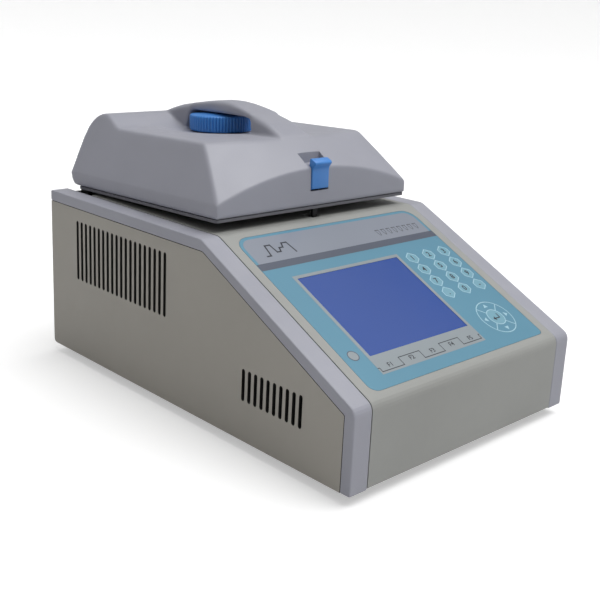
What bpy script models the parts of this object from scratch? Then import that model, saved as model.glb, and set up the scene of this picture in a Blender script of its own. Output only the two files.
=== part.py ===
"""Benchtop thermal cycler: a sloped instrument housing with a hinged, heated lid.

Run with: blender --background --python part.py
Sizes are in millimetres and are scaled by MM. X runs to the right, Y to the back and Z up.
The origin is the centre of the footprint, on the surface that the rubber feet stand on.
The lid's pieces are drawn with the lid shut, and its hinge empty then raises them to LID_AJAR.
"""

import math

import bmesh
import bpy
from mathutils import Matrix, Vector

MM = 0.001
GAP = 0.3  # between pieces that touch

# Housing: the outline seen from the side, and the skins that follow it
WIDTH = 276.0
DEPTH = 407.7
FOOT = 8.0
HALF = WIDTH / 2
FRONT = -DEPTH / 2
REAR = DEPTH / 2
TOP = FOOT + 154.1
FRONT_TOP = FOOT + 67.1
SLOPE_START = -28.0
SLOPE = math.atan2(TOP - FRONT_TOP, SLOPE_START - FRONT)
BEND = 9.0
SKIN = 2.5
TRIM_WIDTH = 18.9
TRIM_DEPTH = 9.9
REAR_PANEL = REAR - 3.4

# Control panel, measured across (x) and down the slope from its top edge (s)
OVERLAY = (-109.5, 109.5, 7.0, 186.3)
WINDOW = (-84.0, 36.5, 63.4, 155.4)

# Louvres in each side panel: first slot, count, bottom and top
LOUVRE_PITCH = 7.21
LOUVRE_WIDTH = 3.8
REAR_LOUVRES = (19.8, 20, FOOT + 75.9, FOOT + 132.8)
FRONT_LOUVRES = (-149.6, 10, FOOT + 34.6, FOOT + 61.6)

# Lid, drawn shut
HINGE_Y = 190.0
HINGE_Z = FOOT + 170.2
LID_AJAR = math.radians(1.8)
LID_FRONT = -21.5
LID_REAR = 202.4
LID_HALF = 117.0
LID_TOP_HALF = 95.5
LID_EDGE = FOOT + 158.7
LID_TOP = FOOT + 215.7
LID_SKIN = 2.6
CREASE_TOP = FOOT + 192.8
EDGE_MIDDLE_Y = 9.5
EDGE_CORNER_Y = 22.9
RAMP_START = 147.0
RAMP_END = 181.0
RAMP_RISE = 11.0
CREST_RADIUS = 21.0

# Pressure knob and the heated plate that its screw moves
KNOB_Y = 116.6
KNOB_RADIUS = 30.5
KNOB_BOTTOM = FOOT + 212.4
KNOB_TOP = FOOT + 227.6
KNOB_RIBS = 60
DISH_DEPTH = 4.2
DISH_FLOOR = 38.0
DISH_RIM = 64.0
SCREW_RADIUS = 5.0

# Sample block
BLOCK_TOP = FOOT + 150.0
BLOCK_HALF_X = 57.0
BLOCK_HALF_Y = 39.0
WELL_PITCH = 9.0
WELL_COLUMNS = 12
WELL_ROWS = 8
BLOCK_HEIGHT = 18.0
PELTIER_THICKNESS = 4.0
SINK_FLOOR = 10.0
SINK_HEIGHT = 48.0
FIN_SLOTS = 13
FIN_PITCH = 9.2
FIN_SLOT_HALF = 3.4

# Latch
LATCH_HALF = 10.3
LATCH_Y = -14.0
LATCH_Z = FOOT + 184.0

# Hinge rod and its brackets
ROD_RADIUS = 3.0
BRACKET_X = 107.0
BRACKET_WIDTH = 4.0
NOTCH_HALF = 2.7
EYE_RADIUS = 6.0
ARM_LENGTH = 60.0
ARM_HALF = 4.0
BORE_SLACK = 0.08

# Feet and rear panel. A flange or body is given as its half sizes in x and z.
FOOT_RADIUS = 9.0
FOOT_X = HALF - 34.0
FOOT_Y = REAR - 38.0
PANEL_THICKNESS = 2.0
TRAY_THICKNESS = 2.0
SCREW_HEAD_RADIUS = 3.0
SCREW_INSET = 14.0
FAN_Z = FOOT + 84.0
FAN_HALF = 40.0
FAN_DEPTH = 25.0
FAN_BORE = 38.0
FAN_BLADES = 7
FAN_STRUTS = 3
GUARD_RADIUS = 38.5
GUARD_WIRE = 1.6
GUARD_RINGS = (11.0, 20.0, 29.0)
INLET_X = 60.0
INLET_FLANGE = (20.0, 12.5)
INLET_BODY = (13.5, 9.7)
INLET_CAVITY = (11.8, 8.2)
SWITCH_X = 96.0
SWITCH_FLANGE = (11.0, 14.0)
SWITCH_BODY = (9.2, 11.7)
SWITCH_WELL = (7.2, 10.0)
SOCKET_Z = FOOT + 34.0

# Lid pan, and the stack that hangs from the lid's screw
PAN_THICKNESS = 2.8
SEAL_Y = 83.0
BEARING_THICKNESS = 3.0
CARRIER_THICKNESS = 4.0
PLATE_THICKNESS = 5.0
MAT_THICKNESS = 1.2
POST_X = 48.0
POST_RADIUS = 3.0
PIN_RADIUS = 1.5


# ---------------------------------------------------------------- scene and materials

for old in list(bpy.data.objects):
    bpy.data.objects.remove(old)

parts = bpy.data.collections.new("thermal_cycler")
cutters = bpy.data.collections.new("cutters")
for collection in (parts, cutters):
    bpy.context.scene.collection.children.link(collection)


def material(name, colour, roughness=0.5, metallic=0.0):
    made = bpy.data.materials.new(name)
    made.use_nodes = True
    shader = made.node_tree.nodes["Principled BSDF"]
    shader.inputs["Base Color"].default_value = (*colour, 1.0)
    shader.inputs["Roughness"].default_value = roughness
    shader.inputs["Metallic"].default_value = metallic
    return made


GREY = material("grey_plastic", (0.42, 0.43, 0.45))
PALE = material("pale_plastic", (0.52, 0.53, 0.52))
BEIGE = material("beige_plastic", (0.38, 0.36, 0.32))
DARK = material("dark_plastic", (0.06, 0.06, 0.07))
BLUE = material("blue_plastic", (0.05, 0.16, 0.48), 0.35)
OVERLAY_BLUE = material("overlay_film", (0.16, 0.36, 0.46), 0.3)
SCREEN = material("display_glass", (0.06, 0.11, 0.38), 0.15)
RUBBER = material("rubber", (0.02, 0.02, 0.02), 0.8)
ALUMINIUM = material("aluminium", (0.7, 0.7, 0.72), 0.35, 1.0)
STEEL = material("steel", (0.55, 0.55, 0.56), 0.3, 1.0)
CIRCUIT = material("circuit_board", (0.02, 0.18, 0.08), 0.5)
CERAMIC = material("white_ceramic", (0.85, 0.85, 0.83), 0.4)
FOAM = material("insulation", (0.75, 0.72, 0.62), 0.9)


# ---------------------------------------------------------------- modelling helpers

def finish(name, mesh_data, skin, group=parts):
    """Turns a bmesh drawn in millimetres into a named object in metres."""
    bmesh.ops.recalc_face_normals(mesh_data, faces=mesh_data.faces)
    bmesh.ops.scale(mesh_data, vec=(MM, MM, MM), verts=mesh_data.verts)
    mesh = bpy.data.meshes.new(name)
    mesh_data.to_mesh(mesh)
    mesh_data.free()
    mesh.shade_smooth()
    mesh.set_sharp_from_angle(angle=math.radians(35))
    made = bpy.data.objects.new(name, mesh)
    group.objects.link(made)
    if skin:
        mesh.materials.append(skin)
    if group is cutters:
        made.hide_render = True
        made.display_type = "WIRE"
    return made


def add_box(mesh_data, x, y, z):
    """A box between the two values of each of x, y and z."""
    size = (x[1] - x[0], y[1] - y[0], z[1] - z[0])
    centre = Vector((x[0] + x[1], y[0] + y[1], z[0] + z[1])) / 2
    place = Matrix.Translation(centre) @ Matrix.Diagonal((*size, 1))
    return bmesh.ops.create_cube(mesh_data, size=1, matrix=place)["verts"]


def box(name, x, y, z, skin, group=parts):
    drawn = bmesh.new()
    add_box(drawn, x, y, z)
    return finish(name, drawn, skin, group)


TURN = {"X": Matrix.Rotation(math.pi / 2, 4, "Y"), "Y": Matrix.Rotation(-math.pi / 2, 4, "X"), "Z": Matrix()}


def add_round(mesh_data, centre, radius, length, axis="Z", sides=24, end_radius=None):
    """A cylinder or cone centred on a point, along one axis."""
    bmesh.ops.create_cone(
        mesh_data, cap_ends=True, segments=sides, radius1=radius,
        radius2=radius if end_radius is None else end_radius, depth=length,
        matrix=Matrix.Translation(centre) @ TURN[axis])


def cylinder(name, centre, radius, length, axis, skin, group=parts, sides=24):
    drawn = bmesh.new()
    add_round(drawn, centre, radius, length, axis, sides)
    return finish(name, drawn, skin, group)


def add_prism(mesh_data, outline, low, high, to_point):
    """A flat outline, carried from low to high along the axis that to_point(a, b, c) gives it."""
    face = mesh_data.faces.new([mesh_data.verts.new(to_point(a, b, low)) for a, b in outline])
    copied = bmesh.ops.extrude_face_region(mesh_data, geom=[face])
    moved = [item for item in copied["geom"] if isinstance(item, bmesh.types.BMVert)]
    shift = Vector(to_point(0, 0, high)) - Vector(to_point(0, 0, low))
    bmesh.ops.translate(mesh_data, vec=shift, verts=moved)


def along_x(y, z, x):
    return (x, y, z)


def along_y(x, z, y):
    return (x, y, z)


def along_z(x, y, z):
    return (x, y, z)


def on_slope(x, s, height):
    """A point on the control panel: across, down the slope, and out from its surface."""
    y = SLOPE_START - s * math.cos(SLOPE) - height * math.sin(SLOPE)
    return (x, y, TOP - s * math.sin(SLOPE) + height * math.cos(SLOPE))


def prism(name, outline, low, high, skin, to_point=along_z, group=parts):
    drawn = bmesh.new()
    add_prism(drawn, outline, low, high, to_point)
    return finish(name, drawn, skin, group)


def cut(target, cutter, operation="DIFFERENCE"):
    change = target.modifiers.new(cutter.name, "BOOLEAN")
    change.operation = operation
    change.object = cutter


def rectangle(x0, x1, y0, y1, radius=0.0, steps=3):
    """A rectangle's outline, with round corners where a radius is given."""
    if not radius:
        return [(x0, y0), (x1, y0), (x1, y1), (x0, y1)]
    corners = ((x1 - radius, y0 + radius, -90), (x1 - radius, y1 - radius, 0),
               (x0 + radius, y1 - radius, 90), (x0 + radius, y0 + radius, 180))
    outline = []
    for cx, cy, start in corners:
        for step in range(steps + 1):
            angle = math.radians(start + 90 * step / steps)
            outline.append((cx + radius * math.cos(angle), cy + radius * math.sin(angle)))
    return outline


def panel_outline(x0, x1, s0, s1, grow=0.0):
    """The keypad's outline: wide round corners at its top, and smaller ones at its bottom."""
    corners = ((x0 - grow, s0 - grow), (x1 + grow, s0 - grow), (x1 + grow, s1 + grow), (x0 - grow, s1 + grow))
    outline = []
    for i, radius in enumerate((13.0, 13.0, 5.0, 8.0)):
        outline += fillet(corners[i - 1], corners[i], corners[(i + 1) % 4], radius + grow)
    return outline


def fillet(before, corner, after, radius, steps=4):
    """The arc that rounds one corner of an outline."""
    a = (Vector(before) - Vector(corner)).normalized()
    b = (Vector(after) - Vector(corner)).normalized()
    half = a.angle(b) / 2
    centre = Vector(corner) + (a + b).normalized() * radius / math.sin(half)
    start = Vector(corner) + a * radius / math.tan(half) - centre
    end = Vector(corner) + b * radius / math.tan(half) - centre
    turn = start.angle_signed(end)
    return [tuple(centre + Matrix.Rotation(-turn * step / steps, 2) @ start) for step in range(steps + 1)]


def pivot(name, location, parent=None):
    """An empty on a joint's axis. Locations are those of the shut lid."""
    made = bpy.data.objects.new(name, None)
    made.empty_display_size = 0.02
    parts.objects.link(made)
    made.location = Vector(location) * MM
    if parent:
        made.parent = parent
        made.matrix_parent_inverse = Matrix.Translation(-Vector(parent["place"]) * MM)
    made["place"] = location
    return made


def hang(empty, *pieces):
    """Parents pieces, and the cutters of their Booleans, to a joint's empty."""
    for piece in pieces:
        tools = [change.object for change in piece.modifiers if change.type == "BOOLEAN"]
        for item in (piece, *tools):
            item.parent = empty
            item.matrix_parent_inverse = Matrix.Translation(-Vector(empty["place"]) * MM)


# ---------------------------------------------------------------- housing

def housing_line(inset, end=FOOT + 0.6):
    """The side view's top, slope and front, moved inwards by inset: rear end first."""
    shoulder = (SLOPE_START - inset * math.tan(SLOPE / 2), TOP - inset)
    lean = (math.pi / 2 - SLOPE) / 2
    nose = (FRONT + inset, FRONT_TOP - inset * math.tan(lean))
    rear, bottom = (REAR, TOP - inset), (FRONT + inset, end)
    radius = max(BEND - inset, 1.5)
    return ([rear] + fillet(rear, shoulder, nose, radius + 4)
            + fillet(shoulder, nose, bottom, radius) + [bottom])


def centre_cover():
    line = housing_line(0, FOOT + 2.2)
    across = HALF - TRIM_WIDTH - GAP
    drawn = bmesh.new()
    left = [drawn.verts.new((-across, y, z)) for y, z in line]
    right = [drawn.verts.new((across, y, z)) for y, z in line]
    for i in range(len(line) - 1):
        drawn.faces.new((left[i], left[i + 1], right[i + 1], right[i]))
    cover = finish("centre_cover", drawn, PALE)
    shell = cover.modifiers.new("thickness", "SOLIDIFY")
    shell.thickness = SKIN * MM
    shell.offset = -1
    shell.use_even_offset = True
    recess = prism("overlay_recess", panel_outline(*OVERLAY, GAP), -0.8, 5, None, on_slope, cutters)
    x0, x1, s0, s1 = WINDOW
    hole = prism("window_hole", rectangle(x0 - GAP, x1 + GAP, s0 - GAP, s1 + GAP),
                 -8, 5, None, on_slope, cutters)
    opening = box("block_opening", (-70, 70), (KNOB_Y - 48, KNOB_Y + 48), (TOP - 8, TOP + 5), None, cutters)
    slot = box("latch_slot", (-5, 5), (-19.6, -4.5), (TOP - 8, TOP + 5), None, cutters)
    notches = bmesh.new()
    for direction in (-1, 1):
        x = sorted((direction * (BRACKET_X - 3.0), direction * HALF))
        add_box(notches, x, (162, REAR + 5), (TOP - 8, TOP + 5))
    for cutter in (recess, hole, opening, slot, finish("hinge_notches", notches, None, cutters)):
        cut(cover, cutter)


def side_trim(name, side):
    """An L-shaped rim that follows the top, the slope and the front."""
    inner, outer = side * (HALF - TRIM_WIDTH), side * HALF
    drawn = bmesh.new()
    add_prism(drawn, housing_line(0) + housing_line(TRIM_DEPTH)[::-1], inner, outer, along_x)
    trim = finish(name, drawn, GREY)
    rounding = trim.modifiers.new("edge", "BEVEL")
    rounding.width = 1.2 * MM
    rounding.segments = 2
    rounding.limit_method = "ANGLE"
    rounding.angle_limit = math.radians(50)
    hollow = housing_line(SKIN, FOOT - 3) + [(FRONT + 30, FOOT - 3), (REAR + 5, FOOT - 3), (REAR + 5, TOP - SKIN)]
    cut(trim, prism(name + "_hollow", hollow, inner - side * 5, side * (HALF - SKIN), None, along_x, cutters))
    return trim


def side_panel(name, side):
    """A flat panel inside the trim, with two groups of upright slots."""
    line = housing_line(TRIM_DEPTH + GAP)
    outline = [(REAR - 0.4, TOP - TRIM_DEPTH - GAP)] + line[1:]
    corner = (REAR - 0.4, FOOT + 0.6)
    outline += fillet(line[-1], corner, outline[0], 4)
    panel = prism(name, outline, side * (HALF - SKIN), side * (HALF - 0.4), BEIGE, along_x)
    drawn = bmesh.new()
    for first, count, low, high in (REAR_LOUVRES, FRONT_LOUVRES):
        for number in range(count):
            y = first + number * LOUVRE_PITCH
            half = LOUVRE_WIDTH / 2
            slot = rectangle(y - half, y + half, low, high, half - 0.01, 2)
            add_prism(drawn, slot, side * (HALF - 8), side * (HALF + 5), along_x)
    cut(panel, finish(name + "_louvres", drawn, None, cutters))
    return panel


centre_cover()
for side_name, direction in (("left", -1), ("right", 1)):
    side_trim(side_name + "_side_trim", direction)
    side_panel(side_name + "_side_panel", direction)

base_tray = box("base_tray", (-HALF + SKIN + GAP, HALF - SKIN - GAP), (FRONT + SKIN + GAP, REAR_PANEL - SKIN),
                (FOOT, FOOT + TRAY_THICKNESS), DARK)
for side_name, x in (("left", -1), ("right", 1)):
    for end_name, y in (("front", -FOOT_Y), ("rear", FOOT_Y)):
        cylinder(f"{end_name}_{side_name}_foot", (x * FOOT_X, y, (FOOT - GAP) / 2), FOOT_RADIUS, FOOT - GAP, "Z", RUBBER)


# ---------------------------------------------------------------- rear panel and what it carries

rear_panel = box("rear_panel", (-HALF + SKIN + GAP, HALF - SKIN - GAP), (REAR_PANEL - PANEL_THICKNESS, REAR_PANEL),
                 (FOOT + TRAY_THICKNESS + GAP, TOP - SKIN - GAP), BEIGE)
holes = bmesh.new()
add_round(holes, (0, REAR_PANEL, FAN_Z), FAN_BORE - 1, 12, "Y", 32)
for x, (half_x, half_z) in ((INLET_X, INLET_BODY), (SWITCH_X, SWITCH_BODY)):
    add_box(holes, (x - half_x - GAP, x + half_x + GAP), (REAR_PANEL - 6, REAR_PANEL + 6),
            (SOCKET_Z - half_z - GAP, SOCKET_Z + half_z + GAP))
cut(rear_panel, finish("rear_panel_holes", holes, None, cutters))
# The panel's top corners clear the inside of the trims.
for direction in (-1, 1):
    x = sorted((direction * (HALF - TRIM_WIDTH - 1), direction * (HALF + 2)))
    corner = box(f"rear_panel_corner_{x[0]:.0f}", x, (REAR_PANEL - 6, REAR_PANEL + 6), (TOP - 3.2, TOP + 4), None, cutters)
    cut(rear_panel, corner)
for number, (x, z) in enumerate(((-1, SCREW_INSET), (1, SCREW_INSET), (-1, TOP - FOOT - SCREW_INSET),
                                 (1, TOP - FOOT - SCREW_INSET)), 1):
    head = bmesh.new()
    bmesh.ops.create_uvsphere(head, u_segments=12, v_segments=6, radius=SCREW_HEAD_RADIUS)
    bmesh.ops.bisect_plane(head, geom=head.verts[:] + head.edges[:] + head.faces[:], plane_co=(0, 0, 0),
                           plane_no=(0, 0, 1), clear_inner=True)
    bmesh.ops.holes_fill(head, edges=head.edges)
    bmesh.ops.scale(head, vec=(1, 1, 0.7), verts=head.verts)
    place = Matrix.Translation((x * (HALF - SCREW_INSET), REAR_PANEL + GAP, FOOT + z)) @ TURN["Y"]
    bmesh.ops.transform(head, matrix=place, verts=head.verts)
    finish(f"rear_screw_{number}", head, STEEL)


def ring(name, centre, outer, inner, length, axis, skin, sides=32):
    made = cylinder(name, centre, outer, length, axis, skin, sides=sides)
    cut(made, cylinder(name + "_bore", centre, inner, length + 4, axis, None, cutters, sides))
    return made


GUARD_CENTRE = (0, REAR_PANEL + GAP + GUARD_WIRE / 2, FAN_Z)
guard = ring("fan_guard", GUARD_CENTRE, GUARD_RADIUS, GUARD_RADIUS - 2.9, GUARD_WIRE, "Y", STEEL)
for number, radius in enumerate(GUARD_RINGS):
    loop = ring(f"guard_ring_{number}", GUARD_CENTRE, radius, radius - 1.8, GUARD_WIRE, "Y", None)
    parts.objects.unlink(loop)
    cutters.objects.link(loop)
    loop.hide_render = True
    loop.display_type = "WIRE"
    cut(guard, loop, "UNION")
for number, angle in enumerate((45, 135)):
    bar = box(f"guard_bar_{number}", (1.5 - GUARD_RADIUS, GUARD_RADIUS - 1.5), (-GUARD_WIRE / 2, GUARD_WIRE / 2), (-0.9, 0.9), None, cutters)
    bar.location = Vector(GUARD_CENTRE) * MM
    bar.rotation_euler = (0, math.radians(angle), 0)
    cut(guard, bar, "UNION")

FAN_FRONT = REAR_PANEL - PANEL_THICKNESS - GAP - FAN_DEPTH
frame = prism("fan_frame", rectangle(-FAN_HALF, FAN_HALF, FAN_Z - FAN_HALF, FAN_Z + FAN_HALF, 5),
              FAN_FRONT, FAN_FRONT + FAN_DEPTH, DARK, along_y)
cut(frame, cylinder("fan_bore", (0, FAN_FRONT + FAN_DEPTH / 2, FAN_Z), FAN_BORE, FAN_DEPTH + 5, "Y", None, cutters, 32))
cut(frame, cylinder("fan_stator", (0, FAN_FRONT + 3, FAN_Z), 13, 5, "Y", None, cutters, 24), "UNION")
for number in range(FAN_STRUTS):
    strut = box(f"fan_strut_{number}", (10, 39), (-1.5, 1.5), (-2, 2), None, cutters)
    strut.location = Vector((0, FAN_FRONT + 2, FAN_Z)) * MM
    strut.rotation_euler = (0, math.radians(30 + 360 / FAN_STRUTS * number), 0)
    cut(frame, strut, "UNION")

rotor_pivot = pivot("fan_rotor_axis", (0, FAN_FRONT + 14, FAN_Z))
rotor = cylinder("fan_rotor", (0, FAN_FRONT + 15, FAN_Z), 14, 17, "Y", DARK)
for number in range(FAN_BLADES):
    blade = box(f"fan_blade_{number}", (12, 36), (-7, 7), (-0.9, 0.9), None, cutters)
    tilt = Matrix.Rotation(math.radians(35), 4, "X")
    spin = Matrix.Rotation(2 * math.pi * number / FAN_BLADES, 4, "Y")
    blade.matrix_world = Matrix.Translation(Vector((0, FAN_FRONT + 15, FAN_Z)) * MM) @ spin @ tilt
    cut(rotor, blade, "UNION")
rotor.parent = rotor_pivot
rotor.matrix_parent_inverse = Matrix.Translation(-rotor_pivot.location)


def round_a_socket(x, half, radius):
    """The outline in x and z of something centred on the row of sockets."""
    return rectangle(x - half[0], x + half[0], SOCKET_Z - half[1], SOCKET_Z + half[1], radius)


def power_inlet():
    """A three-pin appliance inlet: a flange outside, a deep socket, and the pins in it."""
    y = REAR_PANEL
    inlet = prism("power_inlet", round_a_socket(INLET_X, INLET_BODY, 2), y - 22, y + GAP, DARK, along_y)
    flange = prism("inlet_flange", round_a_socket(INLET_X, INLET_FLANGE, 3), y + GAP, y + 2.6, None, along_y, cutters)
    cut(inlet, flange, "UNION")
    socket = prism("inlet_socket", round_a_socket(INLET_X, INLET_CAVITY, 2), y - 17, y + 6, None, along_y, cutters)
    cut(inlet, socket)
    for number, (x, z) in enumerate(((-7, -2), (7, -2), (0, 2))):
        pin = box(f"inlet_pin_{number}", (INLET_X + x - 1, INLET_X + x + 1), (y - 18, y - 5),
                  (SOCKET_Z + z - 2, SOCKET_Z + z + 2), None, cutters)
        cut(inlet, pin, "UNION")


power_inlet()
switch_frame = prism("switch_frame", round_a_socket(SWITCH_X, SWITCH_BODY, 1), REAR_PANEL - 12, REAR_PANEL + GAP,
                     DARK, along_y)
cut(switch_frame, prism("switch_flange", round_a_socket(SWITCH_X, SWITCH_FLANGE, 2), REAR_PANEL + GAP,
                        REAR_PANEL + 1.8, None, along_y, cutters), "UNION")
cut(switch_frame, prism("switch_well", round_a_socket(SWITCH_X, SWITCH_WELL, 0), REAR_PANEL - 8, REAR_PANEL + 6,
                        None, along_y, cutters))
switch_pivot = pivot("power_switch_axis", (SWITCH_X, REAR_PANEL - 4, SOCKET_Z))
# The rocker's outline is a shallow V, tipped so that its upper half is pressed in.
ROCKER = [(-3.5, -3), (3.5, -3), (9, 3.4), (0, 5.2), (-9, 3.4)]
rocker = prism("power_switch_rocker", [(REAR_PANEL - 4 + a, SOCKET_Z + b) for b, a in ROCKER],
               SWITCH_X - 6.8, SWITCH_X + 6.8, RUBBER, along_x)
hang(switch_pivot, rocker)
switch_pivot.rotation_euler = (math.radians(6), 0, 0)


# ---------------------------------------------------------------- control panel

overlay = prism("keypad_overlay", panel_outline(*OVERLAY), -0.5, 0.0, OVERLAY_BLUE, on_slope)
x0, x1, s0, s1 = WINDOW
cut(overlay, prism("overlay_window", rectangle(x0 - GAP, x1 + GAP, s0 - GAP, s1 + GAP), -4, 4,
                   None, on_slope, cutters))
prism("display_window", rectangle(x0, x1, s0, s1), -1.6, -0.2, SCREEN, on_slope)
prism("lcd_module", rectangle(x0 - 11, x1 + 11, s0 - 9, s1 + 9), -12.0, -SKIN - GAP, DARK, on_slope)
board = prism("control_board", rectangle(-100, 104, 24, 184), -17.0, -15.4, CIRCUIT, on_slope)
main = box("main_board", (-52, 124), (-176, 20), (FOOT + 12, FOOT + 13.6), CIRCUIT)
for number in range(4):
    x, end = (number % 2) * 2 - 1, (number // 2) * 2 - 1
    s, y = 104 + 76 * end, -78 + 92 * end
    cut(board, prism(f"control_board_post_{number}", rectangle(98 * x - 3, 98 * x + 3, s - 3, s + 3),
                     -15.5, -SKIN - GAP, None, on_slope, cutters), "UNION")
    cut(main, box(f"main_board_post_{number}", (36 + 82 * x - 3, 36 + 82 * x + 3), (y - 3, y + 3),
                  (FOOT + 2 + GAP, FOOT + 12.1), None, cutters), "UNION")
box("power_supply", (-126, -60), (-150, 60), (FOOT + 2 + GAP, FOOT + 44), STEEL)


# ---------------------------------------------------------------- sample block and what is under it

def sample_block():
    block = box("sample_block", (-BLOCK_HALF_X, BLOCK_HALF_X), (KNOB_Y - BLOCK_HALF_Y, KNOB_Y + BLOCK_HALF_Y),
                (BLOCK_TOP - BLOCK_HEIGHT, BLOCK_TOP), ALUMINIUM)
    drawn = bmesh.new()
    for column in range(WELL_COLUMNS):
        for row in range(WELL_ROWS):
            x = (column - (WELL_COLUMNS - 1) / 2) * WELL_PITCH
            y = KNOB_Y + (row - (WELL_ROWS - 1) / 2) * WELL_PITCH
            add_round(drawn, (x, y, BLOCK_TOP - 6.5), 1.5, 15, "Z", 8, 3.2)
    cut(block, finish("sample_wells", drawn, None, cutters))


def flat_ring(name, outer, inner, low, high, skin, radius=4.0, centre_y=KNOB_Y):
    """A rectangular frame: outer and inner are half sizes in x and y."""
    made = prism(name, rectangle(-outer[0], outer[0], centre_y - outer[1], centre_y + outer[1], radius),
                 low, high, skin)
    cut(made, prism(name + "_inside", rectangle(-inner[0], inner[0], centre_y - inner[1], centre_y + inner[1]),
                    low - 3, high + 3, None, along_z, cutters))
    return made


sample_block()
bezel = flat_ring("block_bezel", (74, 52), (60.0, 42.0), TOP - 6, TOP - SKIN - GAP, DARK, 0)
cut(bezel, box("bezel_lip", (-69.7, 69.7), (KNOB_Y - 47.7, KNOB_Y + 47.7), (TOP - 4, TOP - GAP), None, cutters), "UNION")
# The lip is joined on before the opening is cut.
bezel.modifiers.move(1, 0)
flat_ring("block_gasket", (59.7, 41.7), (57.3, 39.3), BLOCK_TOP - 4, BLOCK_TOP + 0.5, RUBBER, 0)
for number in range(4):
    x, y = (number % 2 - 0.5) * 56, (number // 2 - 0.5) * 38
    box(f"peltier_module_{number + 1}", (x - 26, x + 26), (KNOB_Y + y - 17, KNOB_Y + y + 17),
        (BLOCK_TOP - BLOCK_HEIGHT - GAP - PELTIER_THICKNESS, BLOCK_TOP - BLOCK_HEIGHT - GAP), CERAMIC)
SINK_TOP = BLOCK_TOP - BLOCK_HEIGHT - 2 * GAP - PELTIER_THICKNESS
flat_ring("block_frame", (74, 54), (62.4, 50.4), SINK_TOP - 12, TOP - 6 - GAP, DARK, 0)
heat_sink = box("heat_sink", (-62, 62), (KNOB_Y - 50, KNOB_Y + 50), (SINK_TOP - SINK_HEIGHT, SINK_TOP), ALUMINIUM)
channels = bmesh.new()
for number in range(FIN_SLOTS):
    x = (number - FIN_SLOTS // 2) * FIN_PITCH
    add_box(channels, (x - FIN_SLOT_HALF, x + FIN_SLOT_HALF), (KNOB_Y - 60, KNOB_Y + 60),
            (SINK_TOP - SINK_HEIGHT - 12, SINK_TOP - SINK_FLOOR))
cut(heat_sink, finish("heat_sink_channels", channels, None, cutters))


# ---------------------------------------------------------------- hinge and strike on the base

bracket_outline = [(HINGE_Y - 7, TOP - 16), (HINGE_Y + 7, TOP - 16)]
for step in range(9):
    turn_angle = math.radians(180 * step / 8)
    bracket_outline.append((HINGE_Y + EYE_RADIUS * math.cos(turn_angle), HINGE_Z + EYE_RADIUS * math.sin(turn_angle)))
for side_name, direction in (("left", -1), ("right", 1)):
    x = direction * BRACKET_X
    bracket = prism(f"{side_name}_hinge_bracket", bracket_outline, x - BRACKET_WIDTH / 2, x + BRACKET_WIDTH / 2,
                    STEEL, along_x)
    bore = cylinder(f"{side_name}_bracket_bore", (x, HINGE_Y, HINGE_Z), ROD_RADIUS + BORE_SLACK, 20, "X", None, cutters)
    cut(bracket, bore)
cylinder("hinge_rod", (0, HINGE_Y, HINGE_Z), ROD_RADIUS, 2 * (BRACKET_X + 2.2), "X", STEEL)
box("latch_strike", (-8, 8), (-27.0, -19.0), (TOP - 5.5, TOP - SKIN - GAP), STEEL)


# ---------------------------------------------------------------- lid cover

def lid_half_width(z):
    """Half the lid's width at a height: its sides lean in above the upright band."""
    lean = (LID_HALF - LID_TOP_HALF) / (LID_TOP - HINGE_Z)
    return LID_HALF - max(z - HINGE_Z, 0) * lean


def smooth(t):
    t = min(max(t, 0), 1)
    return t * t * (3 - 2 * t)


def crease_height(x):
    """The arched crease across the lid's front, a circle's arc from corner to corner."""
    rise = CREASE_TOP - HINGE_Z
    radius = (LID_HALF ** 2 + rise ** 2) / (2 * rise)
    return CREASE_TOP - radius + math.sqrt(radius ** 2 - x ** 2)


def edge_y(u):
    """Where the lid's top begins at the front, for u from -1 to 1 across it."""
    return EDGE_MIDDLE_Y + (EDGE_CORNER_Y - EDGE_MIDDLE_Y) * u * u


def ramp_height(y):
    return RAMP_RISE * smooth((y - RAMP_START) / (RAMP_END - RAMP_START))


def dish(x, y):
    """How far the finger dish round the knob dips below the lid's top."""
    reach = (DISH_RIM - math.hypot(x, y - KNOB_Y)) / (DISH_RIM - DISH_FLOOR)
    return DISH_DEPTH * min(max(reach, 0), 1) * (1 - smooth((y - RAMP_START) / (RAMP_END - RAMP_START)))


ACROSS = [-1, -0.85] + [step / 12 for step in range(-8, 9)] + [0.85, 1]
TOP_STEPS = 20
CREST_Z = LID_TOP + RAMP_RISE


def lid_rows():
    """Rows of points across the lid, from its front's bottom edge over the top to its rear's."""
    rows = [[(u * LID_HALF, LID_FRONT, LID_EDGE) for u in ACROSS],
            [(u * LID_HALF, LID_FRONT, crease_height(u * LID_HALF)) for u in ACROSS]]
    for step in range(TOP_STEPS + 1):
        row = []
        for u in ACROSS:
            y = edge_y(u) + (RAMP_END - edge_y(u)) * step / TOP_STEPS
            edge = LID_TOP + ramp_height(y)
            x = u * lid_half_width(edge)
            row.append((x, y, edge - dish(x, y)))
        rows.append(row)
    arc_y = LID_REAR - CREST_RADIUS
    for step in range(1, 7):
        angle = math.radians(90 - 15 * step)
        y = arc_y + CREST_RADIUS * math.cos(angle)
        z = CREST_Z - CREST_RADIUS + CREST_RADIUS * math.sin(angle)
        rows.append([(u * lid_half_width(z), y, z) for u in ACROSS])
    rows.append([(u * LID_HALF, LID_REAR, HINGE_Z) for u in ACROSS])
    radius = LID_REAR - HINGE_Y
    last = math.asin((HINGE_Z - LID_EDGE) / radius)
    for step in range(1, 5):
        angle = last * step / 4
        y, z = HINGE_Y + radius * math.cos(angle), HINGE_Z - radius * math.sin(angle)
        rows.append([(u * LID_HALF, y, z) for u in ACROSS])
    return rows


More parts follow.
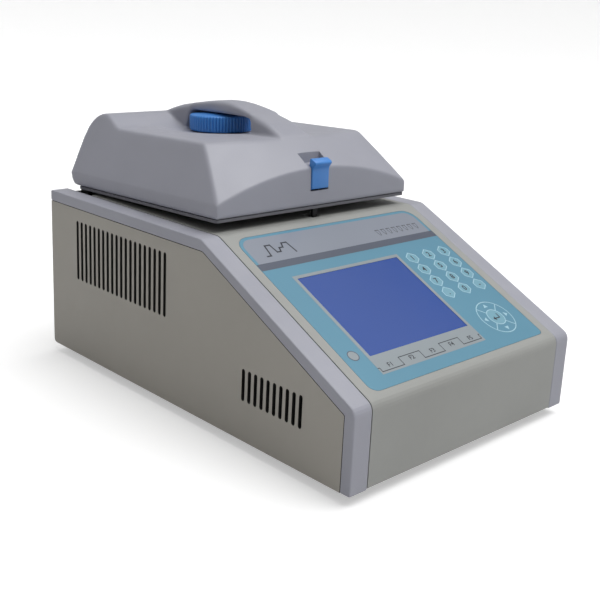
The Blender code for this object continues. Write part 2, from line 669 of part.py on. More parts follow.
def lid_cover():
    drawn = bmesh.new()
    grid = [[drawn.verts.new(point) for point in row] for row in lid_rows()]
    for upper, lower in zip(grid, grid[1:]):
        for i in range(len(ACROSS) - 1):
            drawn.faces.new((upper[i], upper[i + 1], lower[i + 1], lower[i]))
    for end in (0, -1):
        edge = [row[end] for row in grid]
        hinge_row = len(grid) - 5
        drawn.faces.new([edge[0], edge[1]] + edge[hinge_row:])
        drawn.faces.new(edge[1:hinge_row + 1])
    cover = finish("lid_cover", drawn, GREY)
    shell = cover.modifiers.new("thickness", "SOLIDIFY")
    shell.thickness = LID_SKIN * MM
    shell.offset = -1
    shell.use_even_offset = True
    return cover


def bridge_width(y):
    """Half the handle bridge's width: widest at its two feet."""
    return 15.0 + 5.0 * smooth((100 - y) / 90) + 7.0 * smooth((y - 135) / 47)


# The bridge's crest from front to back: a point where its curve bends
BRIDGE_CREST = ((9.5, 0), (29, 10.6), (46, 15.8), (57, 19.1), (69, 22.0), (80, 24.3), (97, 25.9), (112, 25.7),
                (134, 22.8), (158, 19.0), (172, 14.8), (182, 11.2), (188, 9.0))
BRIDGE_UNDERSIDE = LID_TOP + 14.6
FRONT_FOOT_Y = 50.0
REAR_FOOT_Y = 149.0


def crest_height(y):
    for (y0, z0), (y1, z1) in zip(BRIDGE_CREST, BRIDGE_CREST[1:]):
        if y0 <= y <= y1:
            return LID_TOP + z0 + (z1 - z0) * (y - y0) / (y1 - y0)
    return LID_TOP


def foot_bottom(y):
    """Inside the cover's skin, so that the foot and the skin join."""
    return LID_TOP + ramp_height(y) - dish(0, y) - 1.3


def bridge():
    """The handle bridge over the knob: sections from front to back, joined into one solid."""
    stations = []
    for y in (8.5, 14, 20, 29, 37, 46, FRONT_FOOT_Y):
        stations.append((y, foot_bottom(y)))
    for y in (FRONT_FOOT_Y + 0.01, 57, 69, 80, 97, 112, 123, 134, REAR_FOOT_Y):
        stations.append((y, BRIDGE_UNDERSIDE - 1.6 * smooth((70 - y) / 20)))
    for y in (REAR_FOOT_Y + 0.01, 158, 165, 172, 178, 182, 186):
        stations.append((y, foot_bottom(y) - (y - 182) * 0.3 * (y > 182)))
    drawn = bmesh.new()
    sections = []
    for y, low in stations:
        half = bridge_width(y)
        high = max(crest_height(y), LID_TOP - 0.6) if y > 9.5 else LID_TOP - 0.6
        round_edge = min(5.0, (high - low) * 0.45)
        side = [(half, low)]
        for step in range(4):
            angle = math.radians(30 * step)
            side.append((half - round_edge * (1 - math.cos(angle)), high - round_edge * (1 - math.sin(angle))))
        outline = side + [(-x, z) for x, z in side[::-1]]
        sections.append([drawn.verts.new((x, y, z)) for x, z in outline])
    for near, far in zip(sections, sections[1:]):
        for i in range(len(near)):
            j = (i + 1) % len(near)
            drawn.faces.new((near[i], near[j], far[j], far[i]))
    drawn.faces.new(sections[0])
    drawn.faces.new(sections[-1])
    return finish("handle_bridge", drawn, None, cutters)


lid_axis = pivot("lid_axis", (0, HINGE_Y, HINGE_Z))
cover = lid_cover()
cut(cover, bridge(), "UNION")
slope_rise = (LID_TOP - CREASE_TOP) / (EDGE_MIDDLE_Y - LID_FRONT)
HOUSING_LOW = LATCH_Z - 13.5
housing = [(LID_FRONT + 1.2, HOUSING_LOW), (LID_FRONT + 1.2, CREASE_TOP - 0.9),
           (0, CREASE_TOP - 1.6 - LID_FRONT * slope_rise), (0, HOUSING_LOW)]
cut(cover, prism("latch_housing", housing, -16, 16, None, along_x, cutters), "UNION")
cut(cover, box("latch_pocket", (-LATCH_HALF - 0.6, LATCH_HALF + 0.6), (LID_FRONT - 12, -6),
               (LATCH_Z - 12, LATCH_Z + 17), None, cutters))
cut(cover, box("latch_notch", (-13.5, 13.5), (LID_FRONT - 12, -4.5), (LATCH_Z + 16, LATCH_Z + 21.2), None, cutters))
cut(cover, box("hook_hole", (-7, 7), (-18.5, -7), (HOUSING_LOW - 5, LATCH_Z - 8), None, cutters))
cut(cover, cylinder("pin_bore", (0, LATCH_Y, LATCH_Z), PIN_RADIUS + BORE_SLACK, 29, "X", None, cutters, 16))
cut(cover, cylinder("screw_hole", (0, KNOB_Y, LID_TOP), SCREW_RADIUS + 1.0, 30, "Z", None, cutters))
for side_name, direction in (("left", -1), ("right", 1)):
    x = direction * BRACKET_X
    cut(cover, box(f"{side_name}_bracket_notch", (x - NOTCH_HALF, x + NOTCH_HALF), (HINGE_Y - 12, LID_REAR + 8),
                   (LID_EDGE - 8, HINGE_Z + 9), None, cutters))


# ---------------------------------------------------------------- lid pan, seal and hinge arms

PAN_FRONT, PAN_REAR = LID_FRONT + 0.7, HINGE_Y - 1.0
pan = prism("lid_pan", rectangle(-LID_HALF + 0.6, LID_HALF - 0.6, PAN_FRONT, PAN_REAR, 3),
            LID_EDGE - PAN_THICKNESS, LID_EDGE - GAP, DARK)
cut(pan, box("pan_opening", (-64, 64), (KNOB_Y - 47, KNOB_Y + 47), (LID_EDGE - 8, LID_EDGE + 8), None, cutters))
cut(pan, box("pan_latch_hole", (-5, 5), (-18.9, -4), (LID_EDGE - 8, LID_EDGE + 8), None, cutters))
for side_name, direction in (("left", -1), ("right", 1)):
    x = direction * BRACKET_X
    cut(pan, box(f"{side_name}_pan_notch", (x - NOTCH_HALF, x + NOTCH_HALF), (HINGE_Y - 14, HINGE_Y + 8),
                 (LID_EDGE - 8, LID_EDGE + 8), None, cutters))
seal = flat_ring("lid_seal", (LID_HALF - 6, 87), (LID_HALF - 12, 81), TOP + 0.4, LID_EDGE - PAN_THICKNESS - GAP, RUBBER, 3,
                 SEAL_Y)
arms = []
for side_name, direction in (("left", -1), ("right", 1)):
    x = direction * (BRACKET_X - BRACKET_WIDTH / 2 - 0.5 - ARM_HALF)
    outline = [(HINGE_Y - ARM_LENGTH, LID_EDGE), (HINGE_Y - 2, LID_EDGE)]
    for step in range(9):
        turn_angle = math.radians(-60 + 210 * step / 8)
        outline.append((HINGE_Y + (EYE_RADIUS + 0.5) * math.cos(turn_angle),
                        HINGE_Z + (EYE_RADIUS + 0.5) * math.sin(turn_angle)))
    outline += [(HINGE_Y - 10, LID_EDGE + 4), (HINGE_Y - ARM_LENGTH, LID_EDGE + 4)]
    arm = prism(f"{side_name}_hinge_arm", outline, x - ARM_HALF, x + ARM_HALF, STEEL, along_x)
    cut(arm, cylinder(f"{side_name}_arm_bore", (x, HINGE_Y, HINGE_Z), ROD_RADIUS + BORE_SLACK, 30, "X", None, cutters))
    arms.append(arm)


# ---------------------------------------------------------------- knob, screw and heated plate

def knob():
    """A ribbed wheel with a low dome on its top."""
    outline = []
    for step in range(2 * KNOB_RIBS):
        angle = math.pi * step / KNOB_RIBS
        radius = KNOB_RADIUS - 0.9 * (step % 2)
        outline.append((radius * math.cos(angle), KNOB_Y + radius * math.sin(angle)))
    made = prism("pressure_knob", outline, KNOB_BOTTOM, KNOB_TOP, BLUE)
    dome = bmesh.new()
    add_round(dome, (0, KNOB_Y, KNOB_TOP + 0.5), 28, 3, "Z", 40, 13)
    cut(made, finish("knob_dome", dome, None, cutters), "UNION")
    return made


BEARING_LOW = LID_TOP - 26
CARRIER_LOW = LID_TOP - 40
wheel = knob()
screw = cylinder("pressure_screw", (0, KNOB_Y, (CARRIER_LOW - 3 + KNOB_BOTTOM - GAP) / 2), SCREW_RADIUS,
                 KNOB_BOTTOM - GAP - CARRIER_LOW + 3, "Z", STEEL)
bearing = box("screw_bearing_plate", (-103, 103), (KNOB_Y - 14, KNOB_Y + 14), (BEARING_LOW, BEARING_LOW + BEARING_THICKNESS),
              STEEL)
carrier = box("plate_carrier", (-58, 58), (KNOB_Y - 40, KNOB_Y + 40), (CARRIER_LOW, CARRIER_LOW + CARRIER_THICKNESS), STEEL)
posts, bearing_holes, carrier_holes = [], bmesh.new(), bmesh.new()
for number, direction in enumerate((-1, 1), 1):
    x = direction * POST_X
    low, high = CARRIER_LOW + 0.5, BEARING_LOW - GAP
    posts.append(cylinder(f"guide_post_{number}", (x, KNOB_Y, (low + high) / 2), POST_RADIUS, high - low, "Z", STEEL))
    add_round(carrier_holes, (x, KNOB_Y, CARRIER_LOW), POST_RADIUS + GAP, 20)
add_round(carrier_holes, (0, KNOB_Y, CARRIER_LOW), SCREW_RADIUS + 0.1, 20)
add_round(bearing_holes, (0, KNOB_Y, BEARING_LOW), SCREW_RADIUS + 0.1, 20)
cut(bearing, finish("bearing_holes", bearing_holes, None, cutters))
cut(carrier, finish("carrier_holes", carrier_holes, None, cutters))
PLATE_LOW = FOOT + 160.5
plate = box("heated_plate", (-59, 59), (KNOB_Y - 42, KNOB_Y + 42), (PLATE_LOW, PLATE_LOW + PLATE_THICKNESS), ALUMINIUM)
MAT_LOW = PLATE_LOW + PLATE_THICKNESS + GAP
mat = box("heater_mat", (-56, 56), (KNOB_Y - 39, KNOB_Y + 39), (MAT_LOW, MAT_LOW + MAT_THICKNESS), FOAM)
insulation = box("insulation_block", (-57, 57), (KNOB_Y - 40, KNOB_Y + 40),
                 (MAT_LOW + MAT_THICKNESS + GAP, CARRIER_LOW - GAP), FOAM)
spaces = bmesh.new()
add_round(spaces, (0, KNOB_Y, CARRIER_LOW - 4), 7, 20)
for direction in (-1, 1):
    add_round(spaces, (direction * POST_X, KNOB_Y, CARRIER_LOW), POST_RADIUS + 0.8, 9)
cut(insulation, finish("insulation_spaces", spaces, None, cutters))


# ---------------------------------------------------------------- latch

LEVER = [(-18.8, 16.6), (-25.4, 13.4), (-26.2, 12.4), (-25.9, 11.4), (-23.6, 9.2), (-22.7, 6.0), (-22.7, -9.6),
         (-21.8, -10.5), (-18.9, -10.5), (-18.2, -4), (-11.0, -4), (-11.0, 4), (-17.6, 4)]
lever = prism("latch_lever", [(y, LATCH_Z + z) for y, z in LEVER], -LATCH_HALF, LATCH_HALF, BLUE, along_x)
cut(lever, cylinder("lever_bore", (0, LATCH_Y, LATCH_Z), PIN_RADIUS + BORE_SLACK, 40, "X", None, cutters, 16))
HOOK_LOW = TOP - 10
HOOK = [(-14.0, LATCH_Z - 4 - GAP), (-14.0, HOOK_LOW + 2), (-15.5, HOOK_LOW), (-18.6, HOOK_LOW + 2.5),
        (-18.6, HOOK_LOW + 4), (-17.0, HOOK_LOW + 4), (-17.0, LATCH_Z - 4 - GAP)]
hook = prism("latch_hook", HOOK, -3, 3, STEEL, along_x)
pin = cylinder("latch_pin", (0, LATCH_Y, LATCH_Z), PIN_RADIUS, 28, "X", STEEL, sides=16)


# ---------------------------------------------------------------- joints of the lid

knob_axis = pivot("knob_axis", (0, KNOB_Y, KNOB_BOTTOM), lid_axis)
plate_axis = pivot("heated_plate_axis", (0, KNOB_Y, PLATE_LOW), lid_axis)
latch_axis = pivot("latch_axis", (0, LATCH_Y, LATCH_Z), lid_axis)
hang(lid_axis, cover, pan, seal, *arms, bearing, *posts, pin)
hang(knob_axis, wheel, screw)
hang(plate_axis, carrier, insulation, mat, plate)
hang(latch_axis, lever, hook)
lid_axis.rotation_euler = (-LID_AJAR, 0, 0)
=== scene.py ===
"""Looks of a benchtop thermal cycler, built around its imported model."""

import math

import bmesh
import bpy
from mathutils import Matrix, Vector


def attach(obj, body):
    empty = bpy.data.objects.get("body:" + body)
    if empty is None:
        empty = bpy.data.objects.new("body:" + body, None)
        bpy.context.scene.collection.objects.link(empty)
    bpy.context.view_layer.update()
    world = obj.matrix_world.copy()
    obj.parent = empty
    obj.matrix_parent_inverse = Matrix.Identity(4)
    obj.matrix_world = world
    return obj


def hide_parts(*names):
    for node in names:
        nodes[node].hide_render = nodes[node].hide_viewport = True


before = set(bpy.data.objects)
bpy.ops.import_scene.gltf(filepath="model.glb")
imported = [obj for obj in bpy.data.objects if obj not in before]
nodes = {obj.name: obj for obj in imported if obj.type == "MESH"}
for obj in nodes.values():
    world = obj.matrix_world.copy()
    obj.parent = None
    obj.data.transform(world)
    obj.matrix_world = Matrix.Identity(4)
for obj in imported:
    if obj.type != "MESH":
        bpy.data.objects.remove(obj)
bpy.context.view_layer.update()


# ---- Camera
# Stands off the instrument's front left corner, a little above the lid, and looks down at it.
# It is tipped slightly about its own line of sight.

TURN_LEFT = math.radians(-44.3)
LOOK_DOWN = math.radians(15.59)
TIP = math.radians(2.74)
backwards = Vector((math.sin(TURN_LEFT) * math.cos(LOOK_DOWN), -math.cos(TURN_LEFT) * math.cos(LOOK_DOWN),
                    math.sin(LOOK_DOWN)))
level_right = (-backwards).cross(Vector((0, 0, 1))).normalized()
level_up = level_right.cross(-backwards)
camera_right = level_right * math.cos(TIP) + level_up * math.sin(TIP)
camera_up = level_up * math.cos(TIP) - level_right * math.sin(TIP)
EYE = (-0.6068, -0.6219, 0.3505)
camera = bpy.data.objects.new("camera", bpy.data.cameras.new("camera"))
bpy.context.scene.collection.objects.link(camera)
camera.matrix_world = (Matrix.Translation(EYE)
                       @ Matrix((camera_right, camera_up, backwards)).transposed().to_4x4())
camera.data.lens = 58.58
camera.data.sensor_width = 36
camera.data.shift_x = 0.0018
camera.data.shift_y = -0.050
camera.data.clip_start = 0.01
bpy.context.scene.camera = camera


# ---- Floor and studio light
# A pale seamless floor that curves up behind. The room is bright above and on the right, and dim in front and on
# the left. A soft sun from above lifts what faces up.

def link(piece):
    bpy.context.scene.collection.objects.link(piece)
    return piece


def plain_material(name, colour, roughness):
    made = bpy.data.materials.new(name)
    made.use_nodes = True
    shader = made.node_tree.nodes["Principled BSDF"]
    shader.inputs["Base Color"].default_value = (*colour, 1)
    shader.inputs["Roughness"].default_value = roughness
    return made


# The floor's line: how far behind the instrument, and how high
CURVE_START, CURVE_RADIUS, CURVE_STEPS = 3.0, 1.5, 12
FLOOR_HALF_WIDTH = 6
sweep = []
for step in range(CURVE_STEPS + 1):
    angle = math.radians(90 * step / CURVE_STEPS)
    sweep.append((CURVE_START + CURVE_RADIUS * math.sin(angle), CURVE_RADIUS - CURVE_RADIUS * math.cos(angle)))
sweep = [(-4.0, 0.0)] + sweep + [(CURVE_START + CURVE_RADIUS, 5.0)]
view_line = Vector((-backwards.x, -backwards.y, 0)).normalized()
side_line = Vector((-view_line.y, view_line.x, 0))
floor_mesh = bpy.data.meshes.new("floor")
floor_points = [tuple(view_line * y + side_line * x + Vector((0, 0, z)))
                for y, z in sweep for x in (-FLOOR_HALF_WIDTH, FLOOR_HALF_WIDTH)]
floor_mesh.from_pydata(floor_points, [], [(2 * i, 2 * i + 1, 2 * i + 3, 2 * i + 2) for i in range(len(sweep) - 1)])
floor = link(bpy.data.objects.new("floor", floor_mesh))
floor.data.materials.append(plain_material("pale_floor", (0.72, 0.72, 0.72), 0.9))
floor_nodes = floor.data.materials[0].node_tree
floor_shader = floor_nodes.nodes["Principled BSDF"]
floor_shader.inputs["Emission Color"].default_value = (1, 1, 1, 1)
glow = floor_nodes.nodes.new("ShaderNodeMath")
glow.operation = "MULTIPLY"
glow.inputs[1].default_value = 0.43
floor_nodes.links.new(floor_nodes.nodes.new("ShaderNodeLightPath").outputs["Is Camera Ray"], glow.inputs[0])
floor_nodes.links.new(glow.outputs[0], floor_shader.inputs["Emission Strength"])
floor_mesh.shade_smooth()

# The room is brighter above and to the right than to the left and in front
world = bpy.data.worlds.new("studio")
world.use_nodes = True
room = world.node_tree
direction = room.nodes.new("ShaderNodeTexCoord")
shade = room.nodes.new("ShaderNodeMapRange")
shade.inputs["From Min"].default_value = -0.8
shade.inputs["From Max"].default_value = 0.8
shade.inputs["To Min"].default_value = 0.06
shade.inputs["To Max"].default_value = 0.60
brightest = room.nodes.new("ShaderNodeVectorMath")
brightest.operation = "DOT_PRODUCT"
brightest.inputs[1].default_value = (0.62, 0.35, 0.70)
room.links.new(direction.outputs["Generated"], brightest.inputs[0])
room.links.new(brightest.outputs["Value"], shade.inputs["Value"])
room.links.new(shade.outputs["Result"], room.nodes["Background"].inputs["Strength"])
room.nodes["Background"].inputs["Color"].default_value = (1, 1, 1, 1)
bpy.context.scene.world = world
bpy.context.scene.view_settings.view_transform = "Standard"

sun = bpy.data.lights.new("soft_sun", "SUN")
sun.energy = 2.0
sun.angle = math.radians(50)
sun_object = link(bpy.data.objects.new("soft_sun", sun))
sun_object.rotation_euler = Vector((-0.26, 0.22, -0.94)).to_track_quat("-Z", "Y").to_euler()


# ---- Moulded plastics and painted panels
# The trims are grey ABS mouldings, the cover a paler one, and the side and rear panels painted sheet. All have a fine
# grain, a slightly uneven gloss and a trace of dust on what faces up.

def new_group(name, inputs, outputs):
    group = bpy.data.node_groups.new(name, "ShaderNodeTree")
    for label, kind, value in inputs:
        socket = group.interface.new_socket(label, in_out="INPUT", socket_type=kind)
        socket.default_value = value
    for label, kind in outputs:
        group.interface.new_socket(label, in_out="OUTPUT", socket_type=kind)
    return group, group.nodes.new("NodeGroupInput"), group.nodes.new("NodeGroupOutput")


class Wiring:
    """Adds nodes to one tree and joins them: a value that is a socket is linked, any other is set."""

    def __init__(self, tree):
        self.tree = tree

    def join(self, socket, value):
        if isinstance(value, bpy.types.NodeSocket):
            self.tree.links.new(value, socket)
        else:
            socket.default_value = value

    def add(self, kind, inputs=(), **settings):
        node = self.tree.nodes.new("ShaderNode" + kind)
        for key, value in settings.items():
            setattr(node, key, value)
        for key, value in dict(inputs).items():
            self.join(node.inputs[key], value)
        return node

    def math(self, operation, a, b=0.0):
        return self.add("Math", {0: a, 1: b}, operation=operation).outputs[0]

    def mix(self, factor, a, b):
        node = self.add("Mix", data_type="RGBA")
        self.join(node.inputs["Factor"], factor)
        self.join(node.inputs["A"], a)
        self.join(node.inputs["B"], b)
        return node.outputs["Result"]

    def stretch(self, value, low, high, to_low=0.0, to_high=1.0):
        return self.add("MapRange", {"Value": value, "From Min": low, "From Max": high, "To Min": to_low,
                                     "To Max": to_high}).outputs["Result"]


surface, given, result = new_group(
    "moulded_surface",
    [("Colour", "NodeSocketColor", (0.5, 0.5, 0.5, 1)), ("Grain Scale", "NodeSocketFloat", 1500.0),
     ("Grain Height", "NodeSocketFloat", 0.15), ("Gloss", "NodeSocketFloat", 0.45),
     ("Dust", "NodeSocketFloat", 0.3), ("Uneven", "NodeSocketFloat", 0.05)],
    [("Colour", "NodeSocketColor"), ("Roughness", "NodeSocketFloat"), ("Normal", "NodeSocketVector")])
wiring = Wiring(surface)
place = wiring.add("TexCoord").outputs["Object"]
grain = wiring.add("TexNoise", {"Vector": place, "Scale": given.outputs["Grain Scale"], "Detail": 2.0,
                                "Roughness": 0.6}).outputs["Fac"]
cloud = wiring.add("TexNoise", {"Vector": place, "Scale": 9.0, "Detail": 3.0}).outputs["Fac"]
smear = wiring.add("TexNoise", {"Vector": place, "Scale": 60.0, "Detail": 4.0, "Distortion": 1.2}).outputs["Fac"]
facing = wiring.add("SeparateXYZ", {0: wiring.add("NewGeometry").outputs["Normal"]}).outputs["Z"]
upward = wiring.math("MULTIPLY", wiring.stretch(facing, 0.75, 1.0), given.outputs["Dust"])
speck = wiring.math("MULTIPLY", upward, wiring.stretch(smear, 0.42, 0.75))
darker = wiring.add("HueSaturation", {"Value": wiring.stretch(cloud, 0.3, 0.7, 0.965, 1.035),
                                      "Color": given.outputs["Colour"]}).outputs["Color"]
wiring.join(result.inputs["Colour"], wiring.mix(wiring.math("MULTIPLY", speck, 0.35), darker, (0.62, 0.6, 0.57, 1)))
uneven = wiring.math("MULTIPLY", wiring.stretch(smear, 0.3, 0.7, -1.0, 1.0), given.outputs["Uneven"])
rough = wiring.math("ADD", wiring.math("ADD", given.outputs["Gloss"], uneven), wiring.math("MULTIPLY", speck, 0.2))
wiring.join(result.inputs["Roughness"], rough)
bump = wiring.add("Bump", {"Strength": given.outputs["Grain Height"], "Distance": 0.0002, "Height": grain})
wiring.join(result.inputs["Normal"], bump.outputs["Normal"])


def moulded(name, colour, gloss=0.45, grain_scale=1500.0, grain_height=0.15, dust=0.3, metallic=0.0, coat=0.0,
            uneven=0.05):
    """A material for one finish, whose colour, roughness and normal come from the moulded surface."""
    made = bpy.data.materials.new(name)
    made.use_nodes = True
    tree = made.node_tree
    shader = tree.nodes["Principled BSDF"]
    looks = tree.nodes.new("ShaderNodeGroup")
    looks.node_tree = surface
    looks.inputs["Colour"].default_value = (*colour, 1)
    for label, value in (("Grain Scale", grain_scale), ("Grain Height", grain_height), ("Gloss", gloss),
                         ("Dust", dust), ("Uneven", uneven)):
        looks.inputs[label].default_value = value
    tree.links.new(looks.outputs["Colour"], shader.inputs["Base Color"])
    tree.links.new(looks.outputs["Roughness"], shader.inputs["Roughness"])
    tree.links.new(looks.outputs["Normal"], shader.inputs["Normal"])
    shader.inputs["Metallic"].default_value = metallic
    shader.inputs["Coat Weight"].default_value = coat
    shader.inputs["Coat Roughness"].default_value = 0.12
    return made


def dress(finish, *names):
    for name in names:
        piece = nodes[name]
        if not piece.material_slots:
            piece.data.materials.append(finish)
        for slot in piece.material_slots:
            slot.material = finish


grey_plastic = moulded("grey_plastic", (0.36, 0.365, 0.42), 0.42)
pale_plastic = moulded("pale_plastic", (0.34, 0.345, 0.33), 0.45)
BEIGE = (0.39, 0.37, 0.33)
beige_paint = moulded("beige_paint", BEIGE, 0.4, 900.0, 0.25)
dark_plastic = moulded("dark_plastic", (0.035, 0.035, 0.04), 0.55)
dress(grey_plastic, "left_side_trim", "right_side_trim")
dress(pale_plastic, "centre_cover")
dress(beige_paint, "rear_panel")
# The side panels' faces that do not face sideways, the louvre slot walls and the panel edges, are coloured near
# black: painted shade for the dark inside the slots and the seams
SLOT_WALL_SHADE = (0.03, 0.03, 0.028, 1)
slot_shaded_beige_paint = moulded("beige_paint_painted_slot_shade", BEIGE, 0.4, 900.0, 0.25)
edges = Wiring(slot_shaded_beige_paint.node_tree)
sideways = edges.add("SeparateXYZ", {0: edges.add("NewGeometry").outputs["True Normal"]}).outputs["X"]
flat_face = edges.stretch(edges.math("ABSOLUTE", sideways), 0.5, 0.7)
paint_shader = slot_shaded_beige_paint.node_tree.nodes["Principled BSDF"]
painted = paint_shader.inputs["Base Color"].links[0].from_socket
# Painted shade: the near-black colour goes on every face of the panel that is not turned sideways
edges.join(paint_shader.inputs["Base Color"], edges.mix(flat_face, SLOT_WALL_SHADE, painted))
dress(slot_shaded_beige_paint, "left_side_panel", "right_side_panel")
charcoal = moulded("charcoal", (0.14, 0.14, 0.16), 0.5)
dress(charcoal, "lid_pan")
dress(dark_plastic, "base_tray", "block_bezel", "block_frame", "fan_frame", "fan_rotor", "lcd_module",
      "power_inlet", "switch_frame")


# ---- Painted shade behind the louvres
# A near-black sheet stands just behind each group of louvres, cut a little larger than the group: painted shade for
# the dark inside that shows through the slots.

louvre_shade_sheet_black = moulded("louvre_shade_sheet_black", (0.008, 0.008, 0.009), 0.95, 350.0, 1.0, 0.0)


SHADE_SHEET_X, SHADE_SHEET_THICKNESS = 0.1336, 0.0012


def painted_shade_sheet(name, side, y0, y1, z0, z1):
    """A thin near-black sheet of painted shade with a bevelled edge, close behind a side panel, in metres."""
    drawn = bmesh.new()
    centre = Vector((side * SHADE_SHEET_X, (y0 + y1) / 2, (z0 + z1) / 2))
    size = Matrix.Diagonal((SHADE_SHEET_THICKNESS, y1 - y0, z1 - z0, 1))
    bmesh.ops.create_cube(drawn, size=1, matrix=Matrix.Translation(centre) @ size)
    bmesh.ops.bevel(drawn, geom=drawn.edges, offset=0.0003, segments=2, affect="EDGES")
    mesh = bpy.data.meshes.new(name)
    drawn.to_mesh(mesh)
    drawn.free()
    sheet = link(bpy.data.objects.new(name, mesh))
    mesh.materials.append(louvre_shade_sheet_black)
    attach(sheet, "base")


for side_name, side in (("left", -1), ("right", 1)):
    painted_shade_sheet(f"{side_name}_rear_louvre_shade", side, 0.014, 0.163, 0.080, 0.145)
    painted_shade_sheet(f"{side_name}_front_louvre_shade", side, -0.156, -0.078, 0.039, 0.074)


# ---- Rubber, metals and the pieces inside
# Feet and seals are black rubber. The block is bead-blasted aluminium, rods and arms are zinc-plated steel, and the
# latch hook and hinge brackets are blackened. The heater sits in silicone foam.

rubber = moulded("rubber", (0.02, 0.02, 0.021), 0.75, 700.0, 0.3, 0.6)
blasted_aluminium = moulded("blasted_aluminium", (0.72, 0.73, 0.74), 0.38, 2500.0, 0.3, 0.0, 1.0)
plated_steel = moulded("plated_steel", (0.6, 0.6, 0.61), 0.28, 300.0, 0.05, 0.0, 1.0)
solder_mask = moulded("solder_mask", (0.015, 0.13, 0.05), 0.35, 400.0, 0.1)
ceramic = moulded("white_ceramic", (0.85, 0.85, 0.82), 0.4, 800.0, 0.05)
silicone_foam = moulded("silicone_foam", (0.7, 0.66, 0.55), 0.85, 600.0, 0.6)
dress(rubber, "front_left_foot", "front_right_foot", "rear_left_foot", "rear_right_foot", "block_gasket", "lid_seal",
      "power_switch_rocker")
dress(blasted_aluminium, "sample_block", "heat_sink", "heated_plate")
black_steel = moulded("blackened_steel", (0.02, 0.02, 0.022), 0.5, 500.0, 0.1, 0.0, 0.6)
dress(black_steel, "latch_hook", "latch_pin", "left_hinge_bracket", "right_hinge_bracket")
dress(plated_steel, "power_supply", "hinge_rod", "left_hinge_arm",
      "right_hinge_arm", "latch_strike", "pressure_screw", "screw_bearing_plate",
      "plate_carrier", "guide_post_1", "guide_post_2", "fan_guard", "rear_screw_1", "rear_screw_2", "rear_screw_3",
      "rear_screw_4")
dress(solder_mask, "control_board", "main_board")
dress(ceramic, "peltier_module_1", "peltier_module_2", "peltier_module_3", "peltier_module_4")
dress(silicone_foam, "heater_mat", "insulation_block")


# ---- Lid cover
# One thick injection moulding: leaning sides, an arched crease across its front, a shallow finger dish round the
# knob, a raised back, and a handle bridge moulded from front to back over the knob. All its edges are soft.

MM = 0.001
FOOT = 8.0
HINGE_Y, HINGE_Z = 190.0, FOOT + 170.2
LID_AJAR = math.radians(1.8)
LID_FRONT, LID_REAR = -21.5, 202.4
LID_HALF, LID_TOP_HALF = 117.0, 95.5
LID_EDGE, LID_TOP = FOOT + 158.7, FOOT + 215.7
CREASE_TOP = FOOT + 192.8
RAMP_START, RAMP_END, RAMP_RISE = 147.0, 181.0, 11.0
CREST_RADIUS = 21.0
KNOB_Y = 116.6
DISH_DEPTH, DISH_FLOOR, DISH_RIM = 4.2, 38, 64
# The top's front edge: where its middle is, and how far back its corners are set
EDGE_MIDDLE_Y, EDGE_SWEEP = 9.5, 13.4
TOP_FILLET, SIDE_FILLET = 3.0, 3.5
SKIN = 2.6


def smooth(t):
    t = min(max(t, 0), 1)
    return t * t * (3 - 2 * t)


def soft_min(a, b, width):
    """The lower of two heights, with a fillet where they cross."""
    share = max(width - abs(a - b), 0) / width
    return min(a, b) - share * share * width / 4


def lid_height(x, y, inset):
    """How high the lid's outer surface is over a point of its footprint."""
    lean = (LID_TOP - HINGE_Z) / (LID_HALF - LID_TOP_HALF)
    side = HINGE_Z + (LID_HALF - abs(x)) * lean
    u = min(abs(x) / LID_TOP_HALF, 1.2)
    edge_y = EDGE_MIDDLE_Y + EDGE_SWEEP * u * u
    rise = CREASE_TOP - HINGE_Z
    radius = (LID_HALF ** 2 + rise ** 2) / (2 * rise)
    crease = CREASE_TOP - radius + math.sqrt(radius ** 2 - x ** 2)
    front = crease + (y - LID_FRONT) * (LID_TOP - crease) / (edge_y - LID_FRONT)
    ramp = smooth((y - RAMP_START) / (RAMP_END - RAMP_START))
    reach = (DISH_RIM - math.hypot(x, y - KNOB_Y)) / (DISH_RIM - DISH_FLOOR)
    top = LID_TOP + RAMP_RISE * ramp - DISH_DEPTH * min(max(reach, 0), 1) * (1 - ramp)
    crest = LID_TOP + RAMP_RISE
    over = y - (LID_REAR - CREST_RADIUS)
    rear = crest if over <= 0 else crest - CREST_RADIUS + math.sqrt(max(CREST_RADIUS ** 2 - over ** 2, 0))
    height = soft_min(soft_min(top, front, TOP_FILLET), side, SIDE_FILLET)
    return min(height, rear) - inset


def mesh_object(name, drawn):
    """A linked object, in metres, from a bmesh drawn in millimetres."""
    bmesh.ops.recalc_face_normals(drawn, faces=drawn.faces)
    bmesh.ops.scale(drawn, vec=(MM, MM, MM), verts=drawn.verts)
    mesh = bpy.data.meshes.new(name)
    drawn.to_mesh(mesh)
    drawn.free()
    return link(bpy.data.objects.new(name, mesh))


def lid_body(name, inset, step, floor_z):
    """The lid as a solid, its sides set in by inset all round."""
    x0, y0, y1 = LID_HALF - inset, LID_FRONT + inset, LID_REAR - inset
    columns, rows = round(2 * x0 / step), round((y1 - y0) / step)
    drawn = bmesh.new()
    upper, lower = [], []
    for j in range(rows + 1):
        y = y0 + (y1 - y0) * j / rows
        tuck = HINGE_Z - math.sqrt(max((LID_REAR - HINGE_Y) ** 2 - max(y - HINGE_Y, 0) ** 2, 0))
        low = max(floor_z, tuck) if y > HINGE_Y else floor_z
        across = [-x0 + 2 * x0 * i / columns for i in range(columns + 1)]
        upper.append([drawn.verts.new((x, y, max(lid_height(x, y, inset), low + 1))) for x in across])
        lower.append([drawn.verts.new((x, y, low)) for x in across])
    for j in range(rows):
        for i in range(columns):
            for layer in (upper, lower):
                drawn.faces.new((layer[j][i], layer[j][i + 1], layer[j + 1][i + 1], layer[j + 1][i]))
        for i in (0, -1):
            drawn.faces.new((upper[j][i], upper[j + 1][i], lower[j + 1][i], lower[j][i]))
    for j in (0, -1):
        for i in range(columns):
            drawn.faces.new((upper[j][i], upper[j][i + 1], lower[j][i + 1], lower[j][i]))
    return mesh_object(name, drawn)


